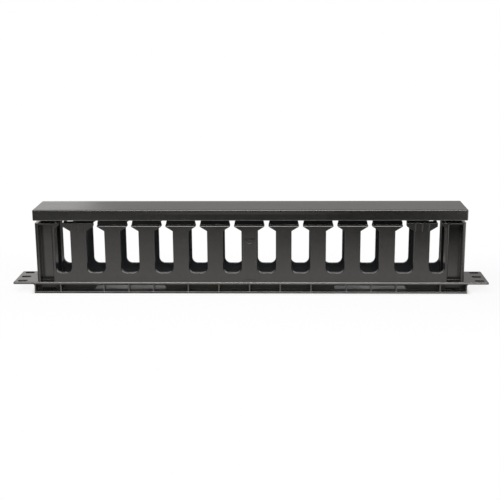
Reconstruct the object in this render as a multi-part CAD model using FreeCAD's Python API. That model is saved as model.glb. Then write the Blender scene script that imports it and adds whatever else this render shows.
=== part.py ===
import FreeCAD, Part
import math
import os

from FreeCAD import Vector

# Horizontal cable manager for a 19-inch rack, one unit high: a moulded finger duct and its push-on
# cover.  The duct stands on its back: +Z runs out of the rack, from the rail to the cover, X runs
# along the duct, and Y runs up the rack.  The origin is the middle of the rail's resting face.
# Millimetres throughout.

# Rack interface
RACK_WIDTH = 482.6              # overall width over the ears of a 19-inch panel
HOLE_SPACING_X = 465.1          # between the two columns of rack holes
HOLE_SPACING_Y = 15.875         # between neighbouring rack holes
PANEL_DEPTH = 43.7              # the panel's height in the rack, just under one unit
EAR_SLOT_LENGTH = 10.0
EAR_SLOT_WIDTH = 6.6
EAR_CORNER = 2.0

# Rail behind the rack's face
RAIL_WIDTH = 439.0              # passes between the rack's posts
RAIL_HEIGHT = 11.6              # from the resting face to the top of the ears
PLATE = 2.1                     # ears and duct floor, one plate
PLATE_EDGE = 1.2                # rounding of the plate's outer top edges
FLANGE = 1.9                    # lower flange
FLANGE_EDGE = 0.9
SPINE_OUTER = 13.5              # outer face of the two long spines, either side of the middle
SPINE = 1.5
RAIL_RIB = 1.3
RIB_INSET = 0.5                 # ribs and end walls stop this far inside the plate's edge
RIB_PLACES = (0.0, 31.1, 62.3, 97.8, 123.0, 148.3, 192.5)
EAR_FILLET = 2.0

# Rear cable ports through the floor
PORT_X = 123.0
PORT_LENGTH = 74.4
PORT_WIDTH = 21.0
PORT_CORNER = 4.0
WINDOW_HEIGHT = 4.2             # tie window in each spine, beside each port

# Finger walls
WALL_OUTER = 21.2
WALL = 3.2
PITCH = 34.5
SLOTS = 12
SLOT_WIDTH = 18.7
SLOT_CORNER = 6.0
SLOT_EDGE = 0.5                 # chamfer of the slots' outer edges
SILL = 21.5                     # height of the slots' floor
STEM_TOP = 64.7                 # the slots narrow from here
HEAD_CORNER = 69.2              # and are narrowest from here up
HEAD_GAP = 4.1                  # between the heads of neighbouring fingers
SHELF = 70.2                    # ledge on top of an inner finger's head
SHELF_EDGE = 1.2
END_HEAD_TOP = 72.8             # the two end fingers have no ledge below this
NECK_OUTER = 16.6
NECK = 2.4
NECK_SIDE = 1.3                 # the neck tapers to this much less than the head at each side
NECK_STRAIGHT = 75.5            # and is straight from here up
NECK_SLOPE = 4.4                # drop of the sloped web that carries the neck inside
BARB = 0.8
BARB_LOW = 81.6
BARB_HIGH = 83.4
END_NECK_GAP = (5.0, 11.6)      # notch in an end finger's neck, from the finger's middle
END_NECK_STUB = 0.7             # height of the neck left below that notch
RIDGE_PLACES = (-6.8, 0.0, 6.8)
RIDGE_WIDTH = 1.2
RIDGE_PROUD = 0.8
RIDGE_EDGE = 0.35
RIDGE_LOW = 64.1

# Raised pad on the middle finger
PAD_WIDTH = 11.8
PAD_LOW = 14.8
PAD_HIGH = 57.6
PAD_PROUD = 0.5
PAD_BEVEL = 2.2
THUMB_RADIUS = 3.4
THUMB_DEPTH = 0.5

# End posts and end sills
POST_OUTER = 216.2
POST_INNER = 196.45
POST_TOP = 72.6
POST_DEPTH = 12.8               # from the wall's outer face inwards
POST_ROUND = 3.0
POCKET_OUTER = 212.8
POCKET_INNER = 199.4
POCKET_DEPTH = 11.0
POCKET_TOP = 71.2
POCKET_EDGE = 1.4               # rounding of the pocket's inner upright edge
NOSE_CORNER = 70.8
NOSE_REACH = 4.7
NOSE_SLOPE = 3.6
END_SILL = 3.0

# Cover
COVER_WIDTH = 434.4
COVER_HALF_DEPTH = 23.4
COVER_LOW = 75.8
COVER_HIGH = 86.8
COVER_WALL = 1.8
COVER_ROUND = 1.2
COVER_CORNER = 1.5
LIP_ROUND = 0.7                 # rounding of the lid's lower outer edge
SNAP_INNER = 18.0
SNAP = 1.4
SNAP_BEAD = 0.4
SNAP_LOW = 79.2
SNAP_BEAD_HIGH = 80.8
SNAP_HALF_LENGTH = 205.0
STOP_CLEARANCE = 0.8
STOP = 1.5
STOP_HALF_DEPTH = 12.0
STOP_LOW = 80.0

# Places worked out from the above
FLOOR = RAIL_HEIGHT
FLOOR_UNDER = RAIL_HEIGHT - PLATE
WALL_INNER = WALL_OUTER - WALL
NECK_INNER = NECK_OUTER - NECK
STEM_HALF = (PITCH - SLOT_WIDTH) / 2
HEAD_HALF = (PITCH - HEAD_GAP) / 2
NECK_HALF = HEAD_HALF - NECK_SIDE
COVER_UNDER = COVER_HIGH - COVER_WALL
END_FINGER = (SLOTS / 2 - 1) * PITCH
END_SLOT = END_FINGER + PITCH / 2
INNER_REACH = END_FINGER - PITCH / 2
ABOVE = COVER_HIGH + 5          # clear of everything, for cuts that run out at the top


def box(x, y, z):
    """A block between the low and high values of each of its three pairs."""
    size = [pair[1] - pair[0] for pair in (x, y, z)]
    return Part.makeBox(*size, Vector(x[0], y[0], z[0]))


def both(span, half):
    """The pair of values half either side of span."""
    return (span - half, span + half)


def mirrored(shape, normal):
    """The shape and its mirror image through the origin, as one solid."""
    return shape.fuse(shape.mirror(Vector(0, 0, 0), normal))


def prism(points, plane, low, high):
    """A straight bar whose section has the given corners in plane XZ or YZ."""
    if plane == "XZ":
        corners = [Vector(a, low, b) for a, b in points]
        run = Vector(0, high - low, 0)
    else:
        corners = [Vector(low, a, b) for a, b in points]
        run = Vector(high - low, 0, 0)
    wire = Part.makePolygon(corners + corners[:1])
    return Part.Face(wire).extrude(run)


def upright_edges(shape, x=None, y=None):
    """Edges that run along Z at the given absolute X, Y or both."""
    found = []
    for edge in shape.Edges:
        low = edge.BoundBox
        if low.ZLength < 1 or low.XLength > 0.01 or low.YLength > 0.01:
            continue
        if x is not None and abs(abs(low.XMin) - x) > 0.01:
            continue
        if y is not None and abs(abs(low.YMin) - y) > 0.01:
            continue
        found.append(edge)
    return found


def long_edges(shape, y, z):
    """Edges that run along X at the given absolute Y and the given Z."""
    found = []
    for edge in shape.Edges:
        low = edge.BoundBox
        if low.XLength < 100 or low.YLength > 0.01 or low.ZLength > 0.01:
            continue
        if abs(abs(low.YMin) - y) < 0.01 and abs(low.ZMin - z) < 0.01:
            found.append(edge)
    return found


def ear_slot(x, y):
    """Cutter for one rack hole, a slot with round ends along X."""
    half = EAR_SLOT_LENGTH / 2 - EAR_SLOT_WIDTH / 2
    low = FLOOR_UNDER - 1
    height = PLATE + 2
    radius = EAR_SLOT_WIDTH / 2
    slot = box(both(x, half), both(y, radius), (low, low + height))
    for end in both(x, half):
        slot = slot.fuse(Part.makeCylinder(radius, height, Vector(end, y, low)))
    return slot


def port_cutter(x):
    """Cutter for one rear port, a rounded rectangle through the floor."""
    span = both(x, PORT_LENGTH / 2)
    cutter = box(span, both(0, PORT_WIDTH / 2), (FLOOR_UNDER - 1, FLOOR + 1))
    return cutter.makeFillet(PORT_CORNER, upright_edges(cutter))


def floor_plate():
    """Duct floor and ears, one plate with the rack holes and the rear ports."""
    plate = box(both(0, RACK_WIDTH / 2), both(0, PANEL_DEPTH / 2), (FLOOR_UNDER, FLOOR))
    plate = plate.makeFillet(EAR_CORNER, upright_edges(plate))
    plate = plate.makeFillet(PLATE_EDGE, long_edges(plate, PANEL_DEPTH / 2, FLOOR))
    cuts = [port_cutter(x) for x in (-PORT_X, PORT_X)]
    for x in (-HOLE_SPACING_X / 2, HOLE_SPACING_X / 2):
        for step in (-1, 0, 1):
            cuts.append(ear_slot(x, step * HOLE_SPACING_Y))
    return plate.cut(cuts)


def tie_window(x):
    """Cutter for the round-ended window beside a rear port, through both spines."""
    radius = WINDOW_HEIGHT / 2
    z = FLANGE + radius
    half = PORT_LENGTH / 2 - radius
    across = both(0, SPINE_OUTER + 1)
    window = box(both(x, half), across, both(z, radius))
    for end in both(x, half):
        start = Vector(end, across[0], z)
        window = window.fuse(Part.makeCylinder(radius, across[1] - across[0], start, Vector(0, 1, 0)))
    return window


def rail_ribs():
    """Short ribs in the outer recesses, and cross ribs between the spines clear of the ports."""
    ribs = []
    upright = (FLANGE / 2, FLOOR_UNDER + PLATE / 2)
    outward = (SPINE_OUTER - SPINE / 2, PANEL_DEPTH / 2 - RIB_INSET)
    across = both(0, SPINE_OUTER - SPINE / 2)
    port_ends = (PORT_X - PORT_LENGTH / 2 - RAIL_RIB / 2, PORT_X + PORT_LENGTH / 2 + RAIL_RIB / 2)
    for place in RIB_PLACES:
        for x in sorted({-place, place}):
            for side in (-1, 1):
                y = sorted((side * outward[0], side * outward[1]))
                ribs.append(box(both(x, RAIL_RIB / 2), y, upright))
            if abs(place - PORT_X) > PORT_LENGTH / 2:
                ribs.append(box(both(x, RAIL_RIB / 2), across, (0, upright[1])))
    for place in port_ends:
        for x in (-place, place):
            ribs.append(box(both(x, RAIL_RIB / 2), across, (0, upright[1])))
    return ribs


def rail():
    """The part behind the rack's face: two spines, two lower flanges, end walls and ribs."""
    half = RAIL_WIDTH / 2
    spine_in = SPINE_OUTER - SPINE
    spine = box(both(0, half), (spine_in, SPINE_OUTER), (0, FLOOR_UNDER + PLATE / 2))
    flange = box(both(0, half), (spine_in, PANEL_DEPTH / 2), (0, FLANGE))
    flange = flange.makeFillet(FLANGE_EDGE, long_edges(flange, PANEL_DEPTH / 2, FLANGE))
    side = mirrored(spine.fuse(flange), Vector(0, 1, 0))
    side = side.cut([tie_window(x) for x in (-PORT_X, PORT_X)])
    end = box((half - RAIL_RIB, half), both(0, PANEL_DEPTH / 2 - RIB_INSET), (0, FLOOR_UNDER + PLATE / 2))
    ends = [end, end.mirror(Vector(0, 0, 0), Vector(1, 0, 0))]
    return side.fuse(ends + rail_ribs())


def ear_fillets():
    """Concave fillets between the ears' undersides and the rail's ends."""
    half = RAIL_WIDTH / 2
    depth = both(0, PANEL_DEPTH / 2 - RIB_INSET)
    corner = (half - RAIL_RIB / 2, half + EAR_FILLET)
    block = box(corner, depth, (FLOOR_UNDER - EAR_FILLET, FLOOR_UNDER + PLATE / 2))
    start = Vector(corner[1], depth[0], FLOOR_UNDER - EAR_FILLET)
    hollow = Part.makeCylinder(EAR_FILLET, depth[1] - depth[0], start, Vector(0, 1, 0))
    fillet = block.cut(hollow)
    return [fillet, fillet.mirror(Vector(0, 0, 0), Vector(1, 0, 0))]


def wall_section(shelf):
    """Section of a finger wall across the duct, with its ledge at the given height."""
    return [
        (WALL_OUTER, FLOOR - PLATE / 2),
        (WALL_OUTER, shelf),
        (NECK_OUTER, shelf),
        (NECK_OUTER, BARB_LOW),
        (NECK_OUTER + BARB, (BARB_LOW + BARB_HIGH) / 2),
        (NECK_OUTER, BARB_HIGH),
        (NECK_OUTER, COVER_UNDER),
        (NECK_INNER, COVER_UNDER),
        (NECK_INNER, HEAD_CORNER),
        (WALL_INNER, HEAD_CORNER - NECK_SLOPE),
        (WALL_INNER, FLOOR - PLATE / 2),
    ]


def slot_cutter(left, right, gap_left, gap_right):
    """Cutter for one slot between two edges, round at the bottom and narrow between the heads."""
    deep = SLOT_CORNER * (1 - math.sqrt(0.5))
    y = WALL_INNER - NECK_OUTER
    round_top = SILL + SLOT_CORNER
    path = [
        (left + SLOT_CORNER, SILL),
        (right - SLOT_CORNER, SILL),
        (right, round_top),
        (right, STEM_TOP),
        (gap_right, HEAD_CORNER),
        (gap_right, ABOVE),
        (gap_left, ABOVE),
        (gap_left, HEAD_CORNER),
        (left, STEM_TOP),
        (left, round_top),
    ]
    order = [Vector(x, y, z) for x, z in path]
    edges = [Part.makeLine(order[0], order[1])]
    edges.append(Part.Arc(order[1], Vector(right - deep, y, SILL + deep), order[2]).toShape())
    edges += [Part.makeLine(a, b) for a, b in zip(order[2:-1], order[3:])]
    edges.append(Part.Arc(order[-1], Vector(left + deep, y, SILL + deep), order[0]).toShape())
    return Part.Face(Part.Wire(edges)).extrude(Vector(0, WALL_OUTER + 2 - y, 0))


def slot_cutters():
    """All the cutters of one wall: the inner slots, and the two narrower ones beside the posts."""
    half = SLOT_WIDTH / 2
    gap = HEAD_GAP / 2
    cuts = []
    for step in range(SLOTS - 2):
        x = (step - (SLOTS - 3) / 2) * PITCH
        cuts.append(slot_cutter(x - half, x + half, x - gap, x + gap))
    end = slot_cutter(END_FINGER + STEM_HALF, POST_INNER, END_SLOT - gap, POST_INNER)
    return cuts + [end, end.mirror(Vector(0, 0, 0), Vector(1, 0, 0))]


def slot_edges(wall):
    """The outer edges of the slots, from the heads down and round the bottom."""
    found = []
    for edge in wall.Edges:
        low = edge.BoundBox
        flat = low.YLength < 0.01 and abs(low.YMin - WALL_OUTER) < 0.01
        if flat and low.ZMin > SILL - 0.01 and low.ZMax < STEM_TOP + 0.01:
            found.append(edge)
    return found


def neck_reliefs():
    """Cutters that taper each neck above its head, and notch the end fingers' necks."""
    cuts = []
    depth = (NECK_INNER - 1, NECK_OUTER + BARB + 0.5)
    gap = HEAD_GAP / 2
    wide = gap + NECK_SIDE
    for step in range(-SLOTS // 2 + 1, SLOTS // 2 + 1):
        x = (step - 0.5) * PITCH
        low = SHELF if abs(x) < INNER_REACH - 1 else END_HEAD_TOP
        section = [(x - gap, low), (x + gap, low), (x + wide, NECK_STRAIGHT), (x + wide, ABOVE)]
        section += [(x - wide, ABOVE), (x - wide, NECK_STRAIGHT)]
        cuts.append(prism(section, "XZ", *depth))
    for side in (-1, 1):
        x = sorted(side * (END_FINGER + place) for place in END_NECK_GAP)
        cuts.append(box(x, depth, (END_HEAD_TOP + END_NECK_STUB, ABOVE)))
    return cuts


def finger_wall():
    """One finger wall, on the +Y side, between the end posts."""
    reach = POST_INNER + 1
    inner = prism(wall_section(SHELF), "YZ", -INNER_REACH, INNER_REACH)
    inner = inner.makeFillet(SHELF_EDGE, long_edges(inner, WALL_OUTER, SHELF))
    outer = prism(wall_section(END_HEAD_TOP), "YZ", INNER_REACH, END_SLOT)
    foot = box((END_SLOT, reach), (WALL_INNER, WALL_OUTER), (FLOOR - PLATE / 2, HEAD_CORNER))
    end = outer.fuse(foot)
    wall = inner.fuse([end, end.mirror(Vector(0, 0, 0), Vector(1, 0, 0))]).removeSplitter()
    wall = wall.cut(slot_cutters())
    wall = wall.makeChamfer(SLOT_EDGE, slot_edges(wall))
    return wall.cut(neck_reliefs())


def grip_ridges():
    """Three upright ridges on the head of each end finger, on the +Y side."""
    ridges = []
    depth = (WALL_OUTER - 0.5, WALL_OUTER + RIDGE_PROUD)
    for side in (-1, 1):
        for place in RIDGE_PLACES:
            x = side * END_FINGER + place
            ridge = box(both(x, RIDGE_WIDTH / 2), depth, (RIDGE_LOW, END_HEAD_TOP))
            ridges.append(ridge.makeChamfer(RIDGE_EDGE, upright_edges(ridge, y=depth[1])))
    return ridges


def end_post():
    """The post at +X, +Y: a tall box open outwards, round at the duct's corner, with its nose."""
    wall_in = WALL_OUTER - POST_DEPTH
    post = box((POST_INNER, POST_OUTER), (wall_in, WALL_OUTER), (FLOOR - PLATE / 2, POST_TOP))
    post = post.makeFillet(POST_ROUND, upright_edges(post, POST_OUTER, WALL_OUTER))
    post = post.makeChamfer(SLOT_EDGE, upright_edges(post, POST_INNER, WALL_OUTER))
    nose = [
        (POST_INNER + 1, POST_TOP),
        (POST_INNER - NOSE_REACH, POST_TOP),
        (POST_INNER - NOSE_REACH, NOSE_CORNER),
        (POST_INNER, NOSE_CORNER - NOSE_SLOPE),
        (POST_INNER + 1, NOSE_CORNER - NOSE_SLOPE),
    ]
    post = post.fuse(prism(nose, "XZ", WALL_INNER, WALL_OUTER))
    pocket = box((POCKET_INNER, POCKET_OUTER), (WALL_OUTER - POCKET_DEPTH, WALL_OUTER + 1), (FLOOR, POCKET_TOP))
    post = post.cut(pocket)
    return post.makeFillet(POCKET_EDGE, upright_edges(post, POCKET_INNER, WALL_OUTER))


def end_sill():
    """The low wall across the duct's open end at +X, with the slots' rounding at its corners."""
    depth = both(0, WALL_OUTER - POST_DEPTH + 1)
    sill = box((POST_OUTER - END_SILL, POST_OUTER), depth, (FLOOR - PLATE / 2, SILL + SLOT_CORNER))
    half = WALL_OUTER - POST_DEPTH
    cutter = box((POST_OUTER - END_SILL - 1, POST_OUTER + 1), both(0, half), (SILL, ABOVE))
    lower = [e for e in cutter.Edges if e.BoundBox.ZMax < SILL + 1 and e.BoundBox.YLength < 0.01
             and e.BoundBox.XLength > 1]
    return sill.cut(cutter.makeFillet(SLOT_CORNER, lower))


def middle_pad():
    """Raised pad on the outer face of the middle finger at -Y, with a sloped top and a thumb dimple."""
    face = -WALL_OUTER
    section = [
        (face + 0.5, PAD_LOW),
        (face - PAD_PROUD, PAD_LOW),
        (face - PAD_PROUD, PAD_HIGH - PAD_BEVEL),
        (face, PAD_HIGH),
        (face + 0.5, PAD_HIGH),
    ]
    pad = prism(section, "YZ", -PAD_WIDTH / 2, PAD_WIDTH / 2)
    return pad


def thumb_dimple():
    """Cutter for the half-round dimple at the head of the pad."""
    top = PAD_HIGH - PAD_BEVEL
    start = Vector(0, -WALL_OUTER - PAD_PROUD - 1, top)
    disc = Part.makeCylinder(THUMB_RADIUS, 1 + THUMB_DEPTH, start, Vector(0, 1, 0))
    return disc.cut(box(both(0, 10), (-30, -10), (top, top + 10)))


def base():
    """The whole moulding: rail, ears, floor, finger walls, end posts and end sills."""
    side = finger_wall().fuse(grip_ridges())
    post = end_post()
    side = side.fuse([post, post.mirror(Vector(0, 0, 0), Vector(1, 0, 0))])
    sides = [side, side.mirror(Vector(0, 0, 0), Vector(0, 1, 0))]
    sill = end_sill()
    sills = [sill, sill.mirror(Vector(0, 0, 0), Vector(1, 0, 0))]
    body = floor_plate().fuse([rail()] + ear_fillets() + sides + sills + [middle_pad()])
    return body.cut(thumb_dimple()).removeSplitter()


def cover_shell():
    """Outside and inside of the cover, with rounded top edges and upright corners."""
    half = COVER_WIDTH / 2
    outer = box(both(0, half), both(0, COVER_HALF_DEPTH), (COVER_LOW, COVER_HIGH))
    outer = outer.makeFillet(COVER_CORNER, upright_edges(outer))
    rim = [e for e in outer.Edges if e.BoundBox.ZMin > COVER_HIGH - 0.01]
    outer = outer.makeFillet(COVER_ROUND, rim)
    lip = [e for e in outer.Edges if e.BoundBox.ZMax < COVER_LOW + 0.01]
    outer = outer.makeFillet(LIP_ROUND, lip)
    inner = box(both(0, half - COVER_WALL), both(0, COVER_HALF_DEPTH - COVER_WALL), (COVER_LOW - 1, COVER_UNDER))
    return outer.cut(inner)


def snap_rail():
    """The long rail under the cover at +Y, whose bead sits below the fingers' barbs."""
    top = COVER_UNDER + COVER_WALL / 2
    middle = (SNAP_LOW + SNAP_BEAD_HIGH) / 2
    section = [
        (SNAP_INNER, top),
        (SNAP_INNER + SNAP, top),
        (SNAP_INNER + SNAP, SNAP_LOW),
        (SNAP_INNER, SNAP_LOW),
        (SNAP_INNER - SNAP_BEAD, middle),
        (SNAP_INNER, SNAP_BEAD_HIGH),
    ]
    return prism(section, "YZ", -SNAP_HALF_LENGTH, SNAP_HALF_LENGTH)


def cover():
    """The cover: a shallow lid with two snap rails and an end stop past the last fingers."""
    rail_pair = mirrored(snap_rail(), Vector(0, 1, 0))
    near = END_FINGER + NECK_HALF + STOP_CLEARANCE
    top = COVER_UNDER + COVER_WALL / 2
    stop = box((near, near + STOP), both(0, STOP_HALF_DEPTH), (STOP_LOW, top))
    stops = mirrored(stop, Vector(1, 0, 0))
    return cover_shell().fuse([rail_pair, stops]).removeSplitter()


def write(shape, node):
    """Check that the shape is one valid solid and write its STEP file."""
    solid = shape.Solids[0]
    print(node, "solids", len(shape.Solids), "valid", solid.isValid(), "faces", len(solid.Faces),
          "volume", round(solid.Volume))
    solid.exportStep("parts/" + node + ".step")


os.makedirs("parts", exist_ok=True)
write(base(), "finger_duct_base")
write(cover(), "duct_cover")
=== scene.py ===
import math
from collections import namedtuple

import bpy
from mathutils import Matrix, Vector


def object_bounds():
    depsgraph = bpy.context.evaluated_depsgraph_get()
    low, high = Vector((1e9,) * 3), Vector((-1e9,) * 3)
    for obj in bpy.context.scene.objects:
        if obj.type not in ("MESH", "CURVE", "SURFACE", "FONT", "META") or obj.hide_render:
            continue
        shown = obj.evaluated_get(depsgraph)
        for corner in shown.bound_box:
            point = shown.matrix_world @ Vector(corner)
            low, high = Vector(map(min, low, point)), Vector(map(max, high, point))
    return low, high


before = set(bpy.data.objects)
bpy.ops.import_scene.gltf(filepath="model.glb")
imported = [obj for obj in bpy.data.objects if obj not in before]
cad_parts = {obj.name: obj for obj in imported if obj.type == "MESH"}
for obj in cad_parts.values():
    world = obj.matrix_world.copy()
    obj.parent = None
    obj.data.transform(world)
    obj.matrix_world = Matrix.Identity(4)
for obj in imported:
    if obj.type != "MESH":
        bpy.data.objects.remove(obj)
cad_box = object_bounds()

# Dressing of a one-unit horizontal cable manager: a moulded finger duct and its push-on cover, both
# black satin plastic, on a white table.  Every length is in metres, in the frame of the solids: X
# runs along the duct, Y across it, and Z up from the back of the rail to the cover.

MM = 0.001


# ---------------------------------------------------------------- node helpers

def new_material(name):
    """An empty node material, its tree and its output node."""
    material = bpy.data.materials.new(name)
    material.use_nodes = True
    tree = material.node_tree
    tree.nodes.clear()
    output = tree.nodes.new("ShaderNodeOutputMaterial")
    return material, tree, output


def feed(tree, value, socket):
    """Link a value into a socket, or set it there where it is a plain number or colour."""
    if isinstance(value, bpy.types.NodeSocket):
        tree.links.new(value, socket)
    else:
        socket.default_value = value


def object_place(tree, stretch=(1, 1, 1)):
    """Object coordinates, in metres, stretched along each axis."""
    place = tree.nodes.new("ShaderNodeTexCoord")
    mapping = tree.nodes.new("ShaderNodeMapping")
    mapping.inputs["Scale"].default_value = stretch
    tree.links.new(place.outputs["Object"], mapping.inputs["Vector"])
    return mapping.outputs["Vector"]


def split_place(tree, kind):
    """The three numbers of the Object or Generated coordinates."""
    place = tree.nodes.new("ShaderNodeTexCoord")
    split = tree.nodes.new("ShaderNodeSeparateXYZ")
    tree.links.new(place.outputs[kind], split.inputs["Vector"])
    return split.outputs["X"], split.outputs["Y"], split.outputs["Z"]


def noise(tree, place, size, detail):
    """Soft noise with features of about the given size in metres."""
    node = tree.nodes.new("ShaderNodeTexNoise")
    node.inputs["Scale"].default_value = 1 / size
    node.inputs["Detail"].default_value = detail
    node.inputs["Roughness"].default_value = NOISE_ROUGHNESS
    tree.links.new(place, node.inputs["Vector"])
    return node.outputs["Fac"]


def remap(tree, value, low, high, to_low, to_high):
    """Value from low..high turned into to_low..to_high, clamped."""
    node = tree.nodes.new("ShaderNodeMapRange")
    node.inputs["From Min"].default_value = low
    node.inputs["From Max"].default_value = high
    node.inputs["To Min"].default_value = to_low
    node.inputs["To Max"].default_value = to_high
    tree.links.new(value, node.inputs["Value"])
    return node.outputs["Result"]


def above(tree, value, band):
    """0 below a band of the value, 1 above it, and a blend inside it."""
    return remap(tree, value, *band, 0, 1)


def below(tree, value, band):
    """1 below a band of the value, 0 above it, and a blend inside it."""
    return remap(tree, value, *band, 1, 0)


def combine(tree, kind, first, second):
    """Math node of two values, either of which may be a plain number."""
    node = tree.nodes.new("ShaderNodeMath")
    node.operation = kind
    feed(tree, first, node.inputs[0])
    feed(tree, second, node.inputs[1])
    return node.outputs["Value"]


def distance(tree, value):
    """A place along an axis as its distance from the middle."""
    return combine(tree, "ABSOLUTE", value, 0)


def product(tree, first, *others):
    """Two or more values multiplied."""
    for other in others:
        first = combine(tree, "MULTIPLY", first, other)
    return first


def blend(tree, share, first, second):
    """Two values mixed by a share of the second."""
    rest = combine(tree, "SUBTRACT", 1, share)
    return combine(tree, "ADD", product(tree, first, rest), product(tree, share, second))


def blend_colours(tree, share, first, second):
    """Two colours mixed by a share of the second."""
    mix = tree.nodes.new("ShaderNodeMix")
    mix.data_type = "RGBA"
    feed(tree, first, mix.inputs["A"])
    feed(tree, second, mix.inputs["B"])
    tree.links.new(share, mix.inputs["Factor"])
    return mix.outputs["Result"]


def blend_shaders(tree, share, first, second):
    """Two shaders mixed by a share of the second."""
    mix = tree.nodes.new("ShaderNodeMixShader")
    tree.links.new(share, mix.inputs["Fac"])
    tree.links.new(first, mix.inputs[1])
    tree.links.new(second, mix.inputs[2])
    return mix.outputs["Shader"]


def bump(tree, height, depth, under):
    """Bump of the given depth in metres, over another normal."""
    node = tree.nodes.new("ShaderNodeBump")
    node.inputs["Distance"].default_value = depth
    tree.links.new(height, node.inputs["Height"])
    tree.links.new(under, node.inputs["Normal"])
    return node.outputs["Normal"]


# ---------------------------------------------------------------- finishes

DUCT_BLACK = (0.020, 0.0195, 0.0195)
COVER_BLACK = (0.014, 0.0136, 0.0136)
INSIDE_LIGHT_PAINT = (0.044, 0.047, 0.052, 1)   # painted light: the duct's inner faces painted greyer and bluer, as if lit
EDGE_HIGHLIGHT_PAINT = (0.120, 0.115, 0.106, 1)       # painted highlight: a paler colour on edges and rims
WHITE = (1, 1, 1, 1)

# Roughness: the span that the clouds give each piece, and its level where the mould differs.
DUCT_GLOSS = (0.22, 0.25)
COVER_GLOSS = (0.24, 0.27)
DULL_RAIL = 0.5                 # deep in the rail's recesses, which the mould left unpolished
POLISHED_POCKET = 0.16          # in the end posts' pockets, whose cores are polished
POLISHED_NECK = 0.09            # on the fingers' necks
PLASTIC_IOR = 1.52

# How much of the painted highlight colour shows.
DUCT_EDGE_HIGHLIGHT = 0.6             # on the duct's broken edges
COVER_EDGE_HIGHLIGHT = 0.1            # on the cover's
RAIL_FRONT_HIGHLIGHT = 0.65           # on the noses of the rail's ribs and the plate's long edges

EDGE_ROUND = 0.4 * MM           # the small round that breaks every sharp edge
EDGE_SAMPLES = 12
EDGE_BAND = (0.99, 0.85)        # cosine of the round's turn, from the flat to a whole edge

NOISE_ROUGHNESS = 0.55
FLOW_SIZE = 28 * MM             # clouds that the flowing plastic left, drawn out along the piece
FLOW_STRETCH = (0.35, 1, 1)
FLOW_SHARE = 0.6
CLOUD_SIZE = 6 * MM
CLOUD_SHARE = 0.4
TINT_BAND = (0.35, 0.65)        # the part of the clouds' span that sets the colour
TINT_DARK = 0.8                 # times the colour, in the darkest cloud
TINT_PALE = 1.2                 # and in the palest
GLOSS_BAND = (0.38, 0.62)       # the part of the clouds' span that sets the roughness
WAVE_SIZE = 18 * MM             # how far the faces are from flat
WAVE_DEPTH = 0.07 * MM
GRAIN_SIZE = 0.45 * MM          # the mould's fine grain
GRAIN_DEPTH = 0.0008 * MM
BOW_DEPTH = 0.20 * MM           # how far the cover's long walls seem to bow out, by bump alone
BOW_REACH = 125 * MM            # half the length of the bow

# Bands in which a place on the duct or the cover begins or ends, in metres.  By height:
FLANGE_TOP = (1.9 * MM, 2.3 * MM)
PLATE_BACK = (9.0 * MM, 9.6 * MM)
FLOOR = (11.0 * MM, 11.4 * MM)
PLATE_FRONT = (11.6 * MM, 11.9 * MM)
NECK_FOOT = (62.0 * MM, 65.0 * MM)
LEDGE_TOP = (69.8 * MM, 70.3 * MM)
LIP_TOP = (76.4 * MM, 76.7 * MM)
BOW_RISE = (82.3 * MM, 84.8 * MM)
# By distance across the duct:
POCKET_BACK = (9.6 * MM, 10.0 * MM)
RECESS_DEEP = (14.0 * MM, 18.0 * MM)
NECK_FACE = (17.0 * MM, 17.4 * MM)
WALL_INSIDE = (18.2 * MM, 18.5 * MM)
POCKET_MOUTH = (20.0 * MM, 20.8 * MM)
RIB_NOSE = (20.9 * MM, 21.2 * MM)
# By distance along it, from its middle:
POST_INSIDE = (196.8 * MM, 197.2 * MM)
POCKET_INNER = (198.9 * MM, 199.3 * MM)
POCKET_OUTER = (212.9 * MM, 213.3 * MM)

Place = namedtuple("Place", "along across height")


def part_place(tree):
    """Where a point lies: its distance along and across from the middle, and its height."""
    along, across, height = split_place(tree, "Object")
    return Place(distance(tree, along), distance(tree, across), height)


def rail_recess(tree, place):
    """1 deep in the recesses of the rail, behind the plate."""
    deep = below(tree, place.across, RECESS_DEEP)
    return product(tree, deep, below(tree, place.height, PLATE_BACK))


def rail_front_highlight(tree, place):
    """How much painted highlight the noses of the rail's ribs and the plate's long edges get."""
    proud = remap(tree, place.across, *RIB_NOSE, 0, RAIL_FRONT_HIGHLIGHT)
    over_flange = above(tree, place.height, FLANGE_TOP)
    return product(tree, proud, over_flange, below(tree, place.height, PLATE_FRONT))


def cover_lip_highlight(tree, place):
    """1 on the rounded lower edge of the cover, where a highlight is painted."""
    return below(tree, place.height, LIP_TOP)


def cover_bow(tree, place):
    """Height of the slight outward bow of the cover's long walls, fading towards their ends."""
    part = product(tree, place.along, 1 / BOW_REACH)
    fading = combine(tree, "SUBTRACT", 1, product(tree, part, part))
    middle = combine(tree, "MAXIMUM", fading, 0)
    return product(tree, middle, above(tree, place.height, BOW_RISE))


def finger_neck(tree, place):
    """1 on the necks of the fingers, above their ledges."""
    set_back = below(tree, place.across, NECK_FACE)
    return product(tree, set_back, above(tree, place.height, LEDGE_TOP))


def painted_light_inside(tree, place):
    """1 on the inner faces of the duct, between its walls and posts and below the necks: painted
    light there.
    """
    between_walls = below(tree, place.across, WALL_INSIDE)
    between_posts = below(tree, place.along, POST_INSIDE)
    over_floor = above(tree, place.height, FLOOR)
    under_necks = below(tree, place.height, NECK_FOOT)
    return product(tree, between_walls, between_posts, over_floor, under_necks)


def post_pocket(tree, place):
    """1 inside the pockets of the four end posts."""
    past_inner = above(tree, place.along, POCKET_INNER)
    before_outer = below(tree, place.along, POCKET_OUTER)
    past_back = above(tree, place.across, POCKET_BACK)
    behind_face = below(tree, place.across, POCKET_MOUTH)
    return product(tree, past_inner, before_outer, past_back, behind_face)


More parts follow.
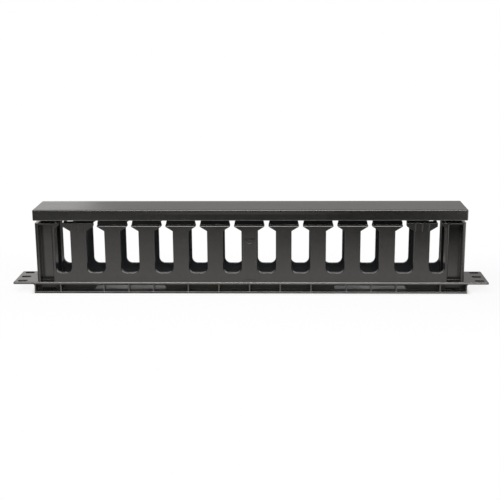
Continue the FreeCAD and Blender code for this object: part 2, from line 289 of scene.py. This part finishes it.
def painted_edge_highlights(tree, broken, share):
    """The given share on the broken edges, where a highlight is painted, and 0 on the flats."""
    flat = tree.nodes.new("ShaderNodeNewGeometry")
    turn = tree.nodes.new("ShaderNodeVectorMath")
    turn.operation = "DOT_PRODUCT"
    tree.links.new(broken, turn.inputs[0])
    tree.links.new(flat.outputs["True Normal"], turn.inputs[1])
    return remap(tree, turn.outputs["Value"], *EDGE_BAND, 0, share)


def satin_plastic(name, colour, gloss, edge_highlight, highlight_place, zones=(), bow=None, inside_light=None):
    """Black moulded plastic: mould grain, faint flow clouds, and edges broken by a small round.

    gloss is the span of its roughness; the next two give the share of painted highlight on its
    edges and the place where a highlight is painted elsewhere.  zones pairs places with their
    roughness, bow is the height of a bow in its walls, and the last the place of its inner faces,
    painted paler as light.
    """
    material, tree, output = new_material(name)
    place = object_place(tree)
    where = part_place(tree)
    shader = tree.nodes.new("ShaderNodeBsdfPrincipled")
    tree.links.new(shader.outputs["BSDF"], output.inputs["Surface"])

    flow = noise(tree, object_place(tree, FLOW_STRETCH), FLOW_SIZE, detail=2.0)
    cloud = noise(tree, place, CLOUD_SIZE, detail=3.0)
    flow, cloud = product(tree, flow, FLOW_SHARE), product(tree, cloud, CLOUD_SHARE)
    mottle = combine(tree, "ADD", flow, cloud)

    dark = (*[part * TINT_DARK for part in colour], 1)
    pale = (*[part * TINT_PALE for part in colour], 1)
    body = blend_colours(tree, above(tree, mottle, TINT_BAND), dark, pale)
    if inside_light is not None:
        # painted light: the inner faces take a paler, bluer colour
        body = blend_colours(tree, inside_light(tree, where), body, INSIDE_LIGHT_PAINT)

    broken = tree.nodes.new("ShaderNodeBevel")
    broken.samples = EDGE_SAMPLES
    broken.inputs["Radius"].default_value = EDGE_ROUND
    normal = broken.outputs["Normal"]
    # painted highlight: the edges and the given rims take a paler colour
    highlight_share = combine(tree, "MAXIMUM", painted_edge_highlights(tree, normal, edge_highlight), highlight_place(tree, where))
    tree.links.new(blend_colours(tree, highlight_share, body, EDGE_HIGHLIGHT_PAINT), shader.inputs["Base Color"])

    rough = remap(tree, mottle, *GLOSS_BAND, *gloss)
    for zone, level in zones:
        rough = blend(tree, zone(tree, where), rough, level)
    tree.links.new(rough, shader.inputs["Roughness"])
    shader.inputs["IOR"].default_value = PLASTIC_IOR

    normal = bump(tree, noise(tree, place, WAVE_SIZE, detail=1.0), WAVE_DEPTH, normal)
    if bow is not None:
        normal = bump(tree, bow(tree, where), BOW_DEPTH, normal)
    normal = bump(tree, noise(tree, place, GRAIN_SIZE, detail=2.0), GRAIN_DEPTH, normal)
    tree.links.new(normal, shader.inputs["Normal"])
    return material


def dress(node, material):
    """Give every slot of a solid the one finish."""
    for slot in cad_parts[node].material_slots:
        slot.material = material


# ---------------------------------------------------------------- table and room

TABLE_SIZE = 12
PALE = (0.86, 0.86, 0.84, 1)    # the table's paint
BOUNCE = (0.50, 0.50, 0.50, 1)  # the paint dimmer in the light it throws back, a painted shade on the duct
PAINTED_SHADOW = (0.43, 0.43, 0.43, 1)  # painted shadow: the paint darker under the duct
FOOT_X = 219.5 * MM             # the duct covers the table this far out along it
FOOT_Y = 21.5 * MM              # and across it
FOOT_BLEND = 5 * MM
GLOW_NEAR = 0.88                # share of glow by the duct, where the shadow shows
GLOW_AWAY = 1.0                 # and away from it
SHADOW_REACH = 0.14             # how far out that is

# Painted light, which the table glows with in reflections only, as stops of place and level: across
# the duct, with painted shade beside it, and across the painted pool's outer edge, a little askew.
BESIDE_DUCT = (
    (-0.200, 1.22),
    (-0.120, 1.32),
    (-0.085, 1.60),
    (-0.065, 1.45),
    (-0.045, 0.80),
    (-0.022, 0.50),
    (0.022, 0.25),
    (0.060, 0.50),
    (0.100, 0.35),
    (0.150, 0.15),
    (0.200, 0.10),
)
TABLE_EDGE = (
    (-0.360, 0.00),
    (-0.320, 0.03),
    (-0.297, 0.10),
    (-0.275, 0.42),
    (-0.240, 0.78),
    (-0.200, 0.95),
    (-0.150, 1.00),
)
LEVEL_TOP = 1.6                 # the highest level, which a ramp holds as white
ASKEW = 0.21                    # how far across the edge moves for a metre along
DIM_BAND = (0.216, 0.238)       # the painted glow is dimmer before the right post
DIM_LEVEL = 0.6
SIDE_NEAR = 0.28                # beyond the duct's ends the painted glow has a level of its own
SIDE_FAR = 0.35
SIDE_LEFT = 0.2
SIDE_RIGHT = 2.0
WARM = (1.0, 0.97, 0.91, 1)     # the table's colour in a reflection

BACKDROP = 0.58                 # the level of the pale backdrop behind the duct in a reflection
BACKDROP_TINT = (1.0, 0.975, 0.945, 1)
ROOM = 0.05                     # and of the side that faces the duct's front
ROOM_BAND = (-0.2, 0.6)         # where one turns into the other, by direction
FILL = 0.25                     # the soft light from all round
FILL_TINT = (0.88, 0.94, 1.05, 1)


def looked_at(tree, path):
    """1 where a thing is seen by the eye itself, or through glass."""
    straight, through = path.outputs["Is Camera Ray"], path.outputs["Is Transmission Ray"]
    return combine(tree, "MAXIMUM", straight, through)


def profile(tree, value, stops):
    """Level along a line from stops of place and level, in order of place."""
    low, high = stops[0][0], stops[-1][0]
    ramp = tree.nodes.new("ShaderNodeValToRGB")
    marks = ramp.color_ramp.elements
    for at, level in stops:
        if at == low:
            mark = marks[0]
        elif at == high:
            mark = marks[-1]
        else:
            mark = marks.new((at - low) / (high - low))
        shade = level / LEVEL_TOP
        mark.color = (shade, shade, shade, 1)
    tree.links.new(remap(tree, value, low, high, 0, 1), ramp.inputs["Fac"])
    return product(tree, ramp.outputs["Color"], LEVEL_TOP)


def table_level(tree, along, across):
    """The table's painted glow in a reflection at a place along and across the duct."""
    skew = combine(tree, "SUBTRACT", across, product(tree, along, ASKEW))
    beside = profile(tree, across, BESIDE_DUCT)
    dim = remap(tree, along, *DIM_BAND, 1, DIM_LEVEL)
    level = product(tree, beside, profile(tree, skew, TABLE_EDGE), dim)
    side = above(tree, distance(tree, along), (SIDE_NEAR, SIDE_FAR))
    beyond = remap(tree, along, -SIDE_FAR, SIDE_FAR, SIDE_LEFT, SIDE_RIGHT)
    return blend(tree, side, level, beyond)


def pale_floor(low):
    """The table: pale, with the object's shadow, white to the eye, painted darker under the duct,
    and glowing with painted light in reflections.
    """
    bpy.ops.object.select_all(action="DESELECT")
    bpy.ops.mesh.primitive_plane_add(size=TABLE_SIZE, location=(0, 0, low))
    table = bpy.context.object
    table.name = "table_top"
    bpy.ops.object.transform_apply(location=True)
    material, tree, output = new_material("white_table")
    material.cycles.emission_sampling = "NONE"
    paint = tree.nodes.new("ShaderNodeBsdfDiffuse")
    glow = tree.nodes.new("ShaderNodeEmission")
    along, across = split_place(tree, "Object")[:2]
    path = tree.nodes.new("ShaderNodeLightPath")
    looked = looked_at(tree, path)
    glossy = path.outputs["Is Glossy Ray"]

    past_x = combine(tree, "SUBTRACT", distance(tree, along), FOOT_X)
    past_y = combine(tree, "SUBTRACT", distance(tree, across), FOOT_Y)
    past = combine(tree, "MAXIMUM", past_x, past_y)
    clear = above(tree, past, (-FOOT_BLEND, FOOT_BLEND))
    # painted shade: the paint is dimmer for light thrown back than to the eye, and darker under the
    # duct
    open_paint = blend_colours(tree, looked, BOUNCE, PALE)
    tree.links.new(blend_colours(tree, clear, PAINTED_SHADOW, open_paint), paint.inputs["Color"])

    # painted light: in reflections the table glows with a painted pool and shadow
    mirrored = product(tree, glossy, table_level(tree, along, across))
    tree.links.new(blend_colours(tree, glossy, WHITE, WARM), glow.inputs["Color"])
    tree.links.new(combine(tree, "MAXIMUM", mirrored, looked), glow.inputs["Strength"])
    away = remap(tree, past, FOOT_BLEND, SHADOW_REACH, GLOW_NEAR, GLOW_AWAY)
    seen = combine(tree, "MAXIMUM", product(tree, looked, away), glossy)

    share = product(tree, seen, clear)
    surface = blend_shaders(tree, share, paint.outputs["BSDF"], glow.outputs["Emission"])
    tree.links.new(surface, output.inputs["Surface"])
    table.data.materials.append(material)


def pale_world():
    """White to the eye, a pale backdrop behind the duct in reflections, and a soft fill."""
    world = bpy.data.worlds.new("studio")
    bpy.context.scene.world = world
    world.use_nodes = True
    tree = world.node_tree
    tree.nodes.clear()
    output = tree.nodes.new("ShaderNodeOutputWorld")
    path = tree.nodes.new("ShaderNodeLightPath")
    looked = looked_at(tree, path)
    glossy = path.outputs["Is Glossy Ray"]

    white = tree.nodes.new("ShaderNodeBackground")
    back = split_place(tree, "Generated")[1]
    mirrored = product(tree, glossy, remap(tree, back, *ROOM_BAND, ROOM, BACKDROP))
    tree.links.new(blend_colours(tree, glossy, WHITE, BACKDROP_TINT), white.inputs["Color"])
    tree.links.new(combine(tree, "MAXIMUM", looked, mirrored), white.inputs["Strength"])

    soft = tree.nodes.new("ShaderNodeBackground")
    soft.inputs["Color"].default_value = FILL_TINT
    soft.inputs["Strength"].default_value = FILL
    seen = combine(tree, "MAXIMUM", looked, glossy)
    surface = blend_shaders(tree, seen, soft.outputs["Background"], white.outputs["Background"])
    tree.links.new(surface, output.inputs["Surface"])


def soft_lamp(name, place, aim, size, power, colour=(1, 1, 1)):
    """A soft box of the given width and height that points from its place at an aim."""
    turn = (Vector(aim) - Vector(place)).to_track_quat("-Z", "Y").to_euler()
    bpy.ops.object.light_add(type="AREA", location=place, rotation=turn)
    lamp = bpy.context.object
    lamp.name = name
    lamp.data.shape = "RECTANGLE"
    lamp.data.size, lamp.data.size_y = size
    lamp.data.energy = power
    lamp.data.color = colour
    return lamp


def camera(place, yaw, pitch, roll, sensor, lens):
    """The eye, turned by angles in degrees from a level look along Y."""
    yaw, pitch, roll = (math.radians(angle) for angle in (yaw, pitch, roll))
    level = Matrix.Rotation(math.pi / 2 + pitch, 4, "X")
    turn = Matrix.Rotation(-yaw, 4, "Z") @ level @ Matrix.Rotation(roll, 4, "Z")
    bpy.ops.object.camera_add(location=place, rotation=turn.to_euler())
    eye = bpy.context.object
    eye.name = "eye"
    eye.data.sensor_width = sensor
    eye.data.lens = lens
    bpy.context.scene.camera = eye


# ---------------------------------------------------------------- make it

bpy.context.scene.view_settings.view_transform = "Standard"

zones = ((rail_recess, DULL_RAIL), (post_pocket, POLISHED_POCKET), (finger_neck, POLISHED_NECK))
duct = satin_plastic(
    "duct_satin_plastic", DUCT_BLACK, DUCT_GLOSS, DUCT_EDGE_HIGHLIGHT, rail_front_highlight,
    zones=zones, inside_light=painted_light_inside)
dress("finger_duct_base", duct)
cover = satin_plastic(
    "cover_satin_plastic", COVER_BLACK, COVER_GLOSS, COVER_EDGE_HIGHLIGHT, cover_lip_highlight, bow=cover_bow)
dress("duct_cover", cover)

pale_floor(cad_box[0][2])
pale_world()
soft_lamp(
    "key_soft_box", place=(-0.26, -0.62, 1.02), aim=(0, 0, 0.05),
    size=(1.4, 0.9), power=17, colour=(1, 0.985, 0.95))
edge = soft_lamp(
    "edge_soft_box", place=(0.30, -0.68, 0.85), aim=(0.05, 0, 0.05),
    size=(1.5, 0.7), power=30, colour=(1, 0.98, 0.93))
edge.visible_diffuse = False    # it only draws the highlights
soft_lamp(
    "rear_left_soft_box", place=(-0.70, 1.30, 0.42), aim=(-0.1, 0, 0.08),
    size=(0.6, 0.5), power=0.55)
# A long lens, a metre in front of the duct and a little above it.
camera(
    place=(0.028997, -1.008121, 0.291491), yaw=-1.644, pitch=-14.003, roll=-0.385,
    sensor=36, lens=72.89)
